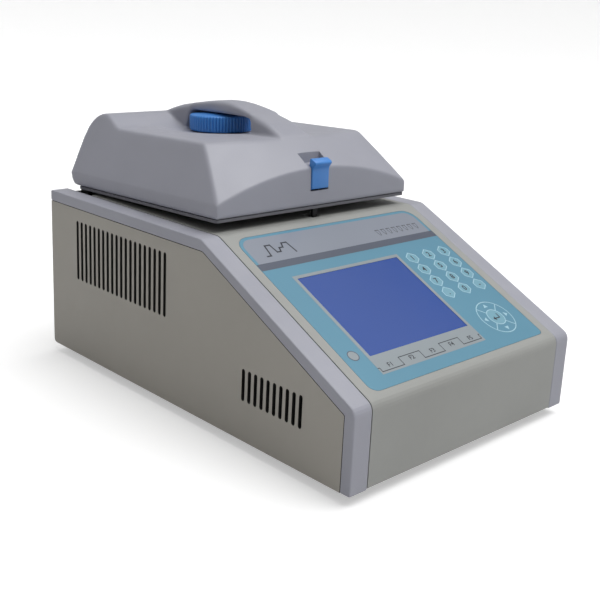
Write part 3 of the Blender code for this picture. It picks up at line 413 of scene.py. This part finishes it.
# The bridge's crest from front to back: a place, and the height over the lid's top there
BRIDGE_CREST = ((8.5, -0.6), (11, 1.5), (20, 6.2), (29, 10.6), (37, 13.2), (46, 15.8), (57, 19.1), (69, 22.0),
                (80, 24.3), (90, 25.5), (97, 25.9), (106, 25.8), (112, 25.7), (123, 24.4), (134, 22.8), (146, 21.0),
                (158, 19.0), (165, 17.0), (172, 14.8), (178, 12.6), (184, 10.6), (190, 8.4))
BRIDGE_START, BRIDGE_END, BRIDGE_STEP = 8.5, 189, 1.9
UNDERSIDE = 14.6


def bridge_crest(y):
    for (y0, z0), (y1, z1) in zip(BRIDGE_CREST, BRIDGE_CREST[1:]):
        if y0 <= y <= y1:
            return LID_TOP + z0 + (z1 - z0) * (y - y0) / (y1 - y0)
    return LID_TOP


def bridge_solid():
    """The handle bridge, drawn as sections across it from front to back."""
    drawn = bmesh.new()
    sections = []
    y = BRIDGE_START
    while y <= BRIDGE_END:
        half = 15.0 + 5.0 * smooth((100 - y) / 90) + 7.0 * smooth((y - 135) / 47)
        high = bridge_crest(y)
        foot = LID_TOP - 8
        span = min(smooth((y - 47) / 8), smooth((152 - y) / 8))
        low = foot + (LID_TOP + UNDERSIDE - 1.6 * smooth((70 - y) / 20) - foot) * span
        corner = min(6.5, (high - low) * 0.48)
        side = [(half + 2.0 * (1 - span), low)] if span < 1 else [(half - 1.2, low), (half, low + 1.2)]
        if span < 1:
            side.append((half + 1.0 * (1 - span), (low + high) / 2))
        for step in range(7):
            angle = math.radians(15 * step)
            side.append((half - corner * (1 - math.cos(angle)), high - corner * (1 - math.sin(angle))))
        outline = side + [(-x, z) for x, z in side[::-1]]
        sections.append([drawn.verts.new((x, y, z)) for x, z in outline])
        y += BRIDGE_STEP
    for near, far in zip(sections, sections[1:]):
        for i in range(len(near)):
            j = (i + 1) % len(near)
            drawn.faces.new((near[i], near[j], far[j], far[i]))
    drawn.faces.new(sections[0])
    drawn.faces.new(sections[-1])
    return mesh_object("bridge_solid", drawn)


def apply_modifiers(piece):
    """Keeps the piece's evaluated mesh as its own."""
    graph = bpy.context.evaluated_depsgraph_get()
    mesh = bpy.data.meshes.new_from_object(piece.evaluated_get(graph))
    old = piece.data
    piece.modifiers.clear()
    piece.data = mesh
    bpy.data.meshes.remove(old)


def box_solid(name, x, y, z):
    """A cutter between the two values of each of x, y and z."""
    drawn = bmesh.new()
    size = (x[1] - x[0], y[1] - y[0], z[1] - z[0])
    centre = Vector((x[0] + x[1], y[0] + y[1], z[0] + z[1])) / 2
    bmesh.ops.create_cube(drawn, size=1, matrix=Matrix.Translation(centre) @ Matrix.Diagonal((*size, 1)))
    return mesh_object(name, drawn)


def carve(piece, tools):
    """Applies (solid, operation) pairs to a piece in turn, and removes the solids."""
    for tool, operation in tools:
        change = piece.modifiers.new(tool.name, "BOOLEAN")
        change.operation = operation
        change.solver = "MANIFOLD"
        change.object = tool
    apply_modifiers(piece)
    for tool, _ in tools:
        bpy.data.objects.remove(tool)
    piece.data.materials.clear()


def side_prism(name, outline, half_width):
    """A solid from an outline in (y, z), centred across the instrument."""
    drawn = bmesh.new()
    ends = [[drawn.verts.new((x, y, z)) for y, z in outline] for x in (-half_width, half_width)]
    for i in range(len(outline)):
        j = (i + 1) % len(outline)
        drawn.faces.new((ends[0][i], ends[0][j], ends[1][j], ends[1][i]))
    drawn.faces.new(ends[0])
    drawn.faces.new(ends[1])
    return mesh_object(name, drawn)


def rod_solid(name, centre, radius, length, axis):
    """A round cutter centred on a point, along X or Z."""
    drawn = bmesh.new()
    turn = Matrix.Rotation(math.pi / 2, 4, "Y") if axis == "X" else Matrix()
    bmesh.ops.create_cone(drawn, cap_ends=True, segments=48, radius1=radius, radius2=radius, depth=length,
                          matrix=Matrix.Translation(centre) @ turn)
    return mesh_object(name, drawn)


def set_ajar(piece):
    """Turns a piece drawn for the shut lid about the hinge, to where the lid stands."""
    hinge = Vector((0, HINGE_Y * MM, HINGE_Z * MM))
    piece.data.transform(Matrix.Translation(hinge) @ Matrix.Rotation(-LID_AJAR, 4, "X") @ Matrix.Translation(-hinge))


def smooth_faces(piece, degrees=40):
    piece.data.shade_smooth()
    piece.data.set_sharp_from_angle(angle=math.radians(degrees))


lid = lid_body("lid_shell", 0, 1.5, LID_EDGE)
bridge = bridge_solid()
with bpy.context.temp_override(active_object=lid, selected_editable_objects=[lid, bridge]):
    bpy.ops.object.join()
remesh = lid.modifiers.new("moulding", "REMESH")
remesh.mode = "VOXEL"
remesh.voxel_size = 0.0014
soften = lid.modifiers.new("soft_edges", "SMOOTH")
soften.factor = 0.5
soften.iterations = 5
apply_modifiers(lid)
LATCH_Y, LATCH_Z, LATCH_HALF = -14.0, FOOT + 184.0, 10.3
slope_rise = (LID_TOP - CREASE_TOP) / (EDGE_MIDDLE_Y - LID_FRONT)
HOUSING_LOW = LATCH_Z - 13.5
housing = [(LID_FRONT + 1.2, HOUSING_LOW), (LID_FRONT + 1.2, CREASE_TOP - 0.9),
           (0, CREASE_TOP - 1.6 - LID_FRONT * slope_rise), (0, HOUSING_LOW)]
POCKET_HALF = LATCH_HALF + 0.6
OUTSIDE = LID_FRONT - 12
tools = [(lid_body("lid_cavity", SKIN, 6.0, LID_EDGE - 6), "DIFFERENCE"),
         (side_prism("latch_housing", housing, 16), "UNION"),
         (box_solid("lever_pocket", (-POCKET_HALF, POCKET_HALF), (OUTSIDE, -17.0), (LATCH_Z - 12, LATCH_Z + 17)),
          "DIFFERENCE"),
         (box_solid("pivot_pocket", (-POCKET_HALF, POCKET_HALF), (OUTSIDE, -6), (LATCH_Z - 12, LATCH_Z + 6)),
          "DIFFERENCE"),
         (box_solid("latch_notch", (-13.5, 13.5), (OUTSIDE, -6.0), (LATCH_Z + 11, LATCH_Z + 20.5)), "DIFFERENCE"),
         (box_solid("hook_hole", (-7, 7), (-18.5, -7), (HOUSING_LOW - 5, LATCH_Z - 8)), "DIFFERENCE"),
         (rod_solid("screw_hole", (0, KNOB_Y, LID_TOP), 6, 30, "Z"), "DIFFERENCE")]
BRACKET_X, NOTCH_HALF = 107, 2.7
for side in (-1, 1):
    tools.append((box_solid("bracket_notch", (side * BRACKET_X - NOTCH_HALF, side * BRACKET_X + NOTCH_HALF),
                            (HINGE_Y - 12, LID_REAR + 8), (LID_EDGE - 8, HINGE_Z + 9)), "DIFFERENCE"))
carve(lid, tools)
smooth_faces(lid)
set_ajar(lid)
lid.name = "lid_cover_moulding"
lid.data.materials.append(grey_plastic)
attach(lid, "lid")
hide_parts("lid_cover")


# ---- Pressure knob
# A blue moulded handwheel, pressed on the end of the lid's screw. It has sixty rounded finger ribs round its rim, and
# a low domed top with a small cap in its middle.

KNOB_RIBS, POINTS_PER_RIB, RIB_DEPTH = 60, 8, 1.6
blue_plastic = moulded("blue_plastic", (0.062, 0.27, 0.72), 0.33, 1500.0, 0.08, 0.15, 0.0, 0.15)
# Each step of the profile: radius, height, and how deep the ribs are there
KNOB_PROFILE = ((6.2, 212.4, 0), (28.6, 212.4, 0), (29.6, 212.7, 0.5), (30.4, 213.6, 1), (30.5, 216.0, 1),
                (30.5, 221.0, 1), (30.5, 225.2, 1), (30.2, 226.4, 0.8), (29.4, 227.2, 0.35), (28.6, 227.5, 0),
                (27.4, 227.6, 0), (25.5, 227.75, 0), (22, 228.15, 0), (18, 228.6, 0), (13, 229.0, 0), (8.4, 229.2, 0),
                (8.1, 228.8, 0), (7.4, 228.8, 0), (7.1, 229.25, 0), (4, 229.35, 0), (0.6, 229.4, 0))


def pressure_knob():
    """The profile turned about the screw, with its radius drawn in between the ribs."""
    drawn = bmesh.new()
    steps = KNOB_RIBS * POINTS_PER_RIB
    rings = []
    for radius, height, depth in KNOB_PROFILE:
        ring = []
        for i in range(steps):
            angle = 2 * math.pi * i / steps
            wave = abs(math.sin(angle * KNOB_RIBS / 2)) ** 0.7
            r = radius - depth * RIB_DEPTH * (1 - wave)
            ring.append(drawn.verts.new((r * math.cos(angle), KNOB_Y + r * math.sin(angle), FOOT + height)))
        rings.append(ring)
    for low, high in zip(rings, rings[1:]):
        for i in range(steps):
            j = (i + 1) % steps
            drawn.faces.new((low[i], low[j], high[j], high[i]))
    drawn.faces.new(rings[0])
    drawn.faces.new(rings[-1])
    return mesh_object("ribbed_knob", drawn)


knob = pressure_knob()
smooth_faces(knob, 50)
set_ajar(knob)
knob.data.materials.append(blue_plastic)
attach(knob, "knob")
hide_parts("pressure_knob")


# ---- Latch lever
# A blue moulded snap lever with a finger ledge along its top edge. It turns on a steel pin across the lid's latch
# pocket, and its steel hook is fixed behind it.

# The lever's outline: places from front to back, and heights from the pin
LEVER = ((-18.8, 16.6), (-20.6, 16.5), (-25.0, 14.4), (-26.0, 13.4), (-26.2, 12.3), (-25.6, 11.3), (-24.4, 10.2),
         (-23.4, 8.6), (-22.8, 6.4), (-22.7, 4.0), (-22.7, -9.0), (-22.2, -10.2), (-21.0, -10.5), (-18.9, -10.5),
         (-18.2, -4), (-11.0, -4), (-11.0, 4), (-17.6, 4))
lever = side_prism("latch_lever_moulding", [(y, LATCH_Z + z) for y, z in LEVER], LATCH_HALF)
rounding = lever.modifiers.new("rounding", "BEVEL")
rounding.width = 0.0007
rounding.segments = 3
rounding.limit_method = "ANGLE"
rounding.angle_limit = math.radians(55)
apply_modifiers(lever)
carve(lever, [(rod_solid("pin_bore", (0, LATCH_Y, LATCH_Z), 1.6, 40, "X"), "DIFFERENCE")])
smooth_faces(lever, 40)
set_ajar(lever)
lever.data.materials.append(blue_plastic)
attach(lever, "latch")
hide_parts("latch_lever")


# ---- Membrane keypad
# One polycarbonate sheet stuck in the sloped panel's recess, printed on its back in even, slightly glossy inks: a
# header, a band, the display's surround, lozenge keys, a navigation wheel and the keys' legends.

SLOPE_START, TOP = -28.0, FOOT + 154.1
DEPTH, FRONT_HEIGHT = 407.7, 67.1
SLOPE = math.atan2(TOP - FOOT - FRONT_HEIGHT, SLOPE_START + DEPTH / 2)


def film(name, colour):
    """Printed ink under the keypad's clear, even, slightly glossy film."""
    return moulded(name, colour, 0.3, 2500.0, 0.06, 0.0, 0.0, 0.3, 0.004)


film_blue = film("film_teal", (0.105, 0.285, 0.40))
film_grey = film("film_lavender", (0.26, 0.285, 0.34))
film_dark = film("film_slate", (0.085, 0.10, 0.14))
film_silver = film("film_silver", (0.29, 0.33, 0.355))
film_pale = film("film_pale_blue", (0.40, 0.62, 0.72))
film_key = film("film_key_face", (0.19, 0.40, 0.50))
film_ink = film("film_ink", (0.016, 0.018, 0.03))
dress(film_blue, "keypad_overlay")


def slope_point(x, s, lift):
    """A point on the panel: across it, down it from the slope's start, and out from it."""
    return Vector((x, SLOPE_START - s * math.cos(SLOPE) - lift * math.sin(SLOPE),
                   TOP - s * math.sin(SLOPE) + lift * math.cos(SLOPE)))


def printed(name, shapes, ink, lift=0.04):
    """Flat inked shapes, each an outline of (x, s) points or a pair of outlines for a ring."""
    drawn = bmesh.new()
    for shape in shapes:
        if isinstance(shape[0][0], tuple):
            outer, inner = [[drawn.verts.new(slope_point(x, s, lift)) for x, s in line] for line in shape]
            for i in range(len(outer)):
                j = (i + 1) % len(outer)
                drawn.faces.new((outer[i], outer[j], inner[j], inner[i]))
        else:
            drawn.faces.new([drawn.verts.new(slope_point(x, s, lift)) for x, s in shape])
    normal = slope_point(0, 0, 1) - slope_point(0, 0, 0)
    bmesh.ops.triangulate(drawn, faces=drawn.faces)
    for face in drawn.faces:
        face.normal_update()
        if face.normal.dot(normal) < 0:
            face.normal_flip()
    bmesh.ops.scale(drawn, vec=(MM, MM, MM), verts=drawn.verts)
    mesh = bpy.data.meshes.new(name)
    drawn.to_mesh(mesh)
    drawn.free()
    made = link(bpy.data.objects.new(name, mesh))
    mesh.materials.append(ink)
    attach(made, "base")
    return made


def rounded(x0, x1, s0, s1, radii, steps=8):
    """A rectangle's outline with a radius for each corner: top left, top right, bottom right, bottom left."""
    corners = ((x0, s0, 1, 1, 180), (x1, s0, -1, 1, 270), (x1, s1, -1, -1, 0), (x0, s1, 1, -1, 90))
    outline = []
    for (x, s, dx, ds, start), radius in zip(corners, radii):
        for step in range(steps + 1):
            angle = math.radians(start + 90 * step / steps)
            outline.append((x + dx * radius + radius * math.cos(angle), s + ds * radius + radius * math.sin(angle)))
    return outline


def circle(x, s, radius, steps=48):
    turn = [math.radians(360.0 * i / steps) for i in range(steps)]
    return [(x + radius * math.cos(a), s + radius * math.sin(a)) for a in turn]


def stroke(points, width):
    """Rectangles along an open line of points."""
    shapes = []
    for (x0, s0), (x1, s1) in zip(points, points[1:]):
        along = Vector((x1 - x0, s1 - s0)).normalized() * width / 2
        across = Vector((-along.y, along.x))
        a, b = Vector((x0, s0)) - along, Vector((x1, s1)) + along
        shapes.append([tuple(a + across), tuple(b + across), tuple(b - across), tuple(a - across)])
    return shapes


BAND_TOP, BAND_BOTTOM = 40, 48
printed("header_print", [rounded(-106.5, 106.5, 10, BAND_TOP, (11, 11, 0.1, 0.1))], film_grey)
printed("band_print", [rounded(-109.3, 109.3, BAND_TOP, BAND_BOTTOM, (0.1, 0.1, 0.1, 0.1))], film_dark, 0.05)
# A temperature trace stands at the left of the header, and a row of tube outlines at its right
TRACE = ((-92, 33), (-88, 33), (-86, 20.5), (-80.5, 20.5), (-79, 30), (-75, 30), (-73.5, 25.5), (-69.5, 25.5),
         (-67.5, 20.5), (-62, 20.5), (-60, 33))
printed("temperature_trace", stroke(TRACE, 1.5), film_ink, 0.06)
FIRST_TUBE, TUBE_PITCH, TUBE_TOP = 45, 7.4, 26.5
TUBE = ((-1.7, TUBE_TOP), (-1.7, 30), (-0.5, 33.6), (0.5, 33.6), (1.7, 30), (1.7, TUBE_TOP))
tubes = []
for number in range(8):
    x = FIRST_TUBE + number * TUBE_PITCH
    tubes += stroke([(x - 2.2, TUBE_TOP), (x + 2.2, TUBE_TOP)], 0.7)
    tubes += stroke([(x + dx, s) for dx, s in TUBE], 0.5)
printed("tube_row", tubes, film_ink, 0.06)
BADGE = (-98.2, 150.5)
printed("badge", [circle(*BADGE, 5.2)], film_silver, 0.05)
printed("badge_ring", [(circle(*BADGE, 5.2), circle(*BADGE, 4.4))], film_dark, 0.06)
SURROUND = (-87.5, 40, 60, 174.4)
WINDOW = (-84.0, 36.5, 63.4, 155.4)
x0, x1, s0, s1 = SURROUND
w0, w1, v0, v1 = WINDOW
printed("display_surround", [[(x0, s0), (x1, s0), (x1, v0), (x0, v0)], [(x0, v0), (w0, v0), (w0, v1), (x0, v1)],
                             [(w1, v0), (x1, v0), (x1, v1), (w1, v1)],
                             [(x0, v1), (x1, v1), (x1, s1), (x0, s1)]], film_silver, 0.05)
# The line that marks off the five function keys, stepped from key to key
STEPS_X = (-87.3, -85.5, -60.7, -36.0, -11.0, 13.5, 37.5, 39.0)
STEPS_S = (168, 172, 164, 172, 163.4, 171.5, 167)
outline = []
for number, level in enumerate(STEPS_S):
    outline += [(STEPS_X[number], level), (STEPS_X[number + 1], level)]
printed("function_key_line", stroke(outline, 0.75), film_ink, 0.07)


def legend(text, x, s, size, ink, name):
    """A printed character, centred on a point of the panel."""
    curve = bpy.data.curves.new(name, "FONT")
    curve.body = text
    curve.size = size
    curve.align_x = "CENTER"
    curve.align_y = "CENTER"
    curve.resolution_u = 3
    curve.offset = size * 0.018
    letters = link(bpy.data.objects.new(name, curve))
    mesh = bpy.data.meshes.new_from_object(letters.evaluated_get(bpy.context.evaluated_depsgraph_get()))
    bpy.data.objects.remove(letters)
    for vertex in mesh.vertices:
        vertex.co = slope_point(x + vertex.co.x, s - vertex.co.y, 0.1) * MM
    made = link(bpy.data.objects.new(name, mesh))
    mesh.materials.clear()
    mesh.materials.append(ink)
    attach(made, "base")


for number, x in enumerate((-73.1, -48.1, -22.9, 1.3, 26.1), 1):
    legend(f"F{number}", x, 167.8, 6.0, film_ink, f"function_legend_{number}")

KEY_X, KEY_S = (53.4, 76.0, 97.7), (68.6, 84.5, 100.4, 116.3)


def lozenge(x, s, size):
    """A six-sided key outline, longest from top to bottom."""
    wide, shoulder = size * 0.86, size * 0.38
    return [(x, s - size), (x + wide, s - shoulder), (x + wide, s + shoulder), (x, s + size),
            (x - wide, s + shoulder), (x - wide, s - shoulder)]


KEY_SIZE, KEY_FACE = 7.6, 6.6
legends = "123456789.0-"
keys = []
for row, s in enumerate(KEY_S):
    for column, x in enumerate(KEY_X):
        keys.append((lozenge(x, s, KEY_SIZE), lozenge(x, s, KEY_FACE)))
        legend(legends[3 * row + column], x, s, 8.2, film_ink, f"key_legend_{3 * row + column + 1}")
printed("key_outlines", keys, film_pale)
printed("key_faces", [lozenge(x, s, KEY_FACE) for x in KEY_X for s in KEY_S], film_key, 0.03)

# The navigation wheel: a ring in four sectors round a centre key, each sector with an arrow
WHEEL_X, WHEEL_S = 76.8, 155.5
WHEEL_RADIUS, CENTRE_RADIUS, WHEEL_LINE = 19.3, 8.5, 0.9
wheel = [(circle(WHEEL_X, WHEEL_S, WHEEL_RADIUS), circle(WHEEL_X, WHEEL_S, WHEEL_RADIUS - WHEEL_LINE)),
         (circle(WHEEL_X, WHEEL_S, CENTRE_RADIUS + WHEEL_LINE), circle(WHEEL_X, WHEEL_S, CENTRE_RADIUS))]
for angle in (45, 135, 225, 315):
    c, s = math.cos(math.radians(angle)), math.sin(math.radians(angle))
    wheel += stroke([(WHEEL_X + 9 * c, WHEEL_S + 9 * s), (WHEEL_X + 18.8 * c, WHEEL_S + 18.8 * s)],
                    WHEEL_LINE)
for angle in (0, 90, 180, 270):
    c, s = math.cos(math.radians(angle)), math.sin(math.radians(angle))
    tip, back, wide = 16.4, 12.4, 2.6
    wheel.append([(WHEEL_X + tip * c, WHEEL_S + tip * s),
                  (WHEEL_X + back * c - wide * s, WHEEL_S + back * s + wide * c),
                  (WHEEL_X + back * c + wide * s, WHEEL_S + back * s - wide * c)])
printed("navigation_wheel", wheel, film_pale)
printed("centre_key_face", [circle(WHEEL_X, WHEEL_S, CENTRE_RADIUS)], film_key, 0.03)
ENTER_LINE = ((3.6, -3), (3.6, 1.4), (-2.4, 1.4))
ENTER_HEAD = ((-5, 1.4), (-2, -1.1), (-2, 3.9))
printed("enter_mark", stroke([(WHEEL_X + x, WHEEL_S + s) for x, s in ENTER_LINE], 1.1)
        + [[(WHEEL_X + x, WHEEL_S + s) for x, s in ENTER_HEAD]], film_ink, 0.06)


# ---- Display
# A blue graphic display, evenly lit from behind and switched on but blank. The window over it is clear and has a
# hard, smooth face.

def display_material():
    made = moulded("display_blue", (0.012, 0.055, 0.26), 0.22, 2500.0, 0.02, 0.0, 0.0, 0.6, 0.004)
    shader = made.node_tree.nodes["Principled BSDF"]
    shader.inputs["Emission Color"].default_value = (0.012, 0.06, 0.32, 1)
    shader.inputs["Emission Strength"].default_value = 0.22
    return made


dress(display_material(), "display_window")


# ---- Fittings on the rear panel
# The inlet's three blades are plated brass, the rocker has a moulded on and off mark, and each dome-headed screw a
# black cross on its head, painted shade standing in for its cross recess.

REAR_PANEL = DEPTH / 2 - 3.4
SOCKET_Z = FOOT + 34
INLET_X, SWITCH_X = 60, 96
SCREW_X, SCREW_LOW, SCREW_HIGH = 124, FOOT + 14, FOOT + 140.1
brass = moulded("plated_brass", (0.78, 0.66, 0.42), 0.3, 300.0, 0.05, 0.0, 1.0)


def rear_prism(name, outline, y0, y1, finish, shrink=1.0):
    """A solid from an outline in (x, z) between two distances from the middle, its outer end scaled by shrink."""
    drawn = bmesh.new()
    cx = sum(x for x, _ in outline) / len(outline)
    cz = sum(z for _, z in outline) / len(outline)
    tip = [(cx + (x - cx) * shrink, cz + (z - cz) * shrink) for x, z in outline]
    levels = [(outline, y0), (outline, y1 - 0.6), (tip, y1)]
    rings = [[drawn.verts.new((x, y, z)) for x, z in line] for line, y in levels]
    for low, high in zip(rings, rings[1:]):
        for i in range(len(low)):
            j = (i + 1) % len(low)
            drawn.faces.new((low[i], low[j], high[j], high[i]))
    drawn.faces.new(rings[0])
    drawn.faces.new(rings[-1])
    made = mesh_object(name, drawn)
    made.data.materials.append(finish)
    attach(made, "base")


BLADE = ((-1.05, -2.05), (1.05, -2.05), (1.05, 2.05), (-1.05, 2.05))
for number, (x, z) in enumerate(((-7, -2), (7, -2), (0, 2)), 1):
    blade = [(INLET_X + x + dx, SOCKET_Z + z + dz) for dx, dz in BLADE]
    rear_prism(f"inlet_blade_{number}", blade, REAR_PANEL - 17.1, REAR_PANEL - 4.9, brass, 0.6)
# Each screw head gets a solid black cross: painted shade for its cross recess
SLOT, ARM = 0.28, 1.3
for number, (x, z) in enumerate(((-SCREW_X, SCREW_LOW), (SCREW_X, SCREW_LOW), (-SCREW_X, SCREW_HIGH),
                                 (SCREW_X, SCREW_HIGH)), 1):
    cross = [(SLOT, SLOT), (ARM, SLOT), (ARM, -SLOT), (SLOT, -SLOT), (SLOT, -ARM), (-SLOT, -ARM)]
    cross += [(-a, -b) for a, b in cross]
    rear_prism(f"screw_recess_shade_{number}", [(x + a, z + b) for a, b in cross], REAR_PANEL + 1.6, REAR_PANEL + 2.44,
               black_steel, 0.9)

ROCKER_LEAN = math.atan2(1.8, 9)
ROCKER_TIP = math.radians(6)


def rocker_point(x, along, lift=5.26):
    """A point on the rocker's two outer faces: across it, and up it from its crest."""
    turned = Matrix.Rotation(ROCKER_TIP, 3, "X") @ Vector((x, lift - abs(along) * math.sin(ROCKER_LEAN),
                                                            along * math.cos(ROCKER_LEAN)))
    return turned + Vector((SWITCH_X, REAR_PANEL - 4, SOCKET_Z))


ON_MARK = ((-0.4, 2.8), (0.4, 2.8), (0.4, 6.2), (-0.4, 6.2))
OFF_MARK = [circle(0, -4.5, radius, 24) for radius in (1.8, 1.2)]
marks = bmesh.new()
marks.faces.new([marks.verts.new(rocker_point(x, along)) for x, along in ON_MARK])
rings = [[marks.verts.new(rocker_point(x, along)) for x, along in line] for line in OFF_MARK]
for i in range(len(rings[0])):
    j = (i + 1) % len(rings[0])
    marks.faces.new((rings[0][i], rings[0][j], rings[1][j], rings[1][i]))
rocker_marks = mesh_object("rocker_marks", marks)
rocker_marks.data.materials.append(film_silver)
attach(rocker_marks, "power_switch")
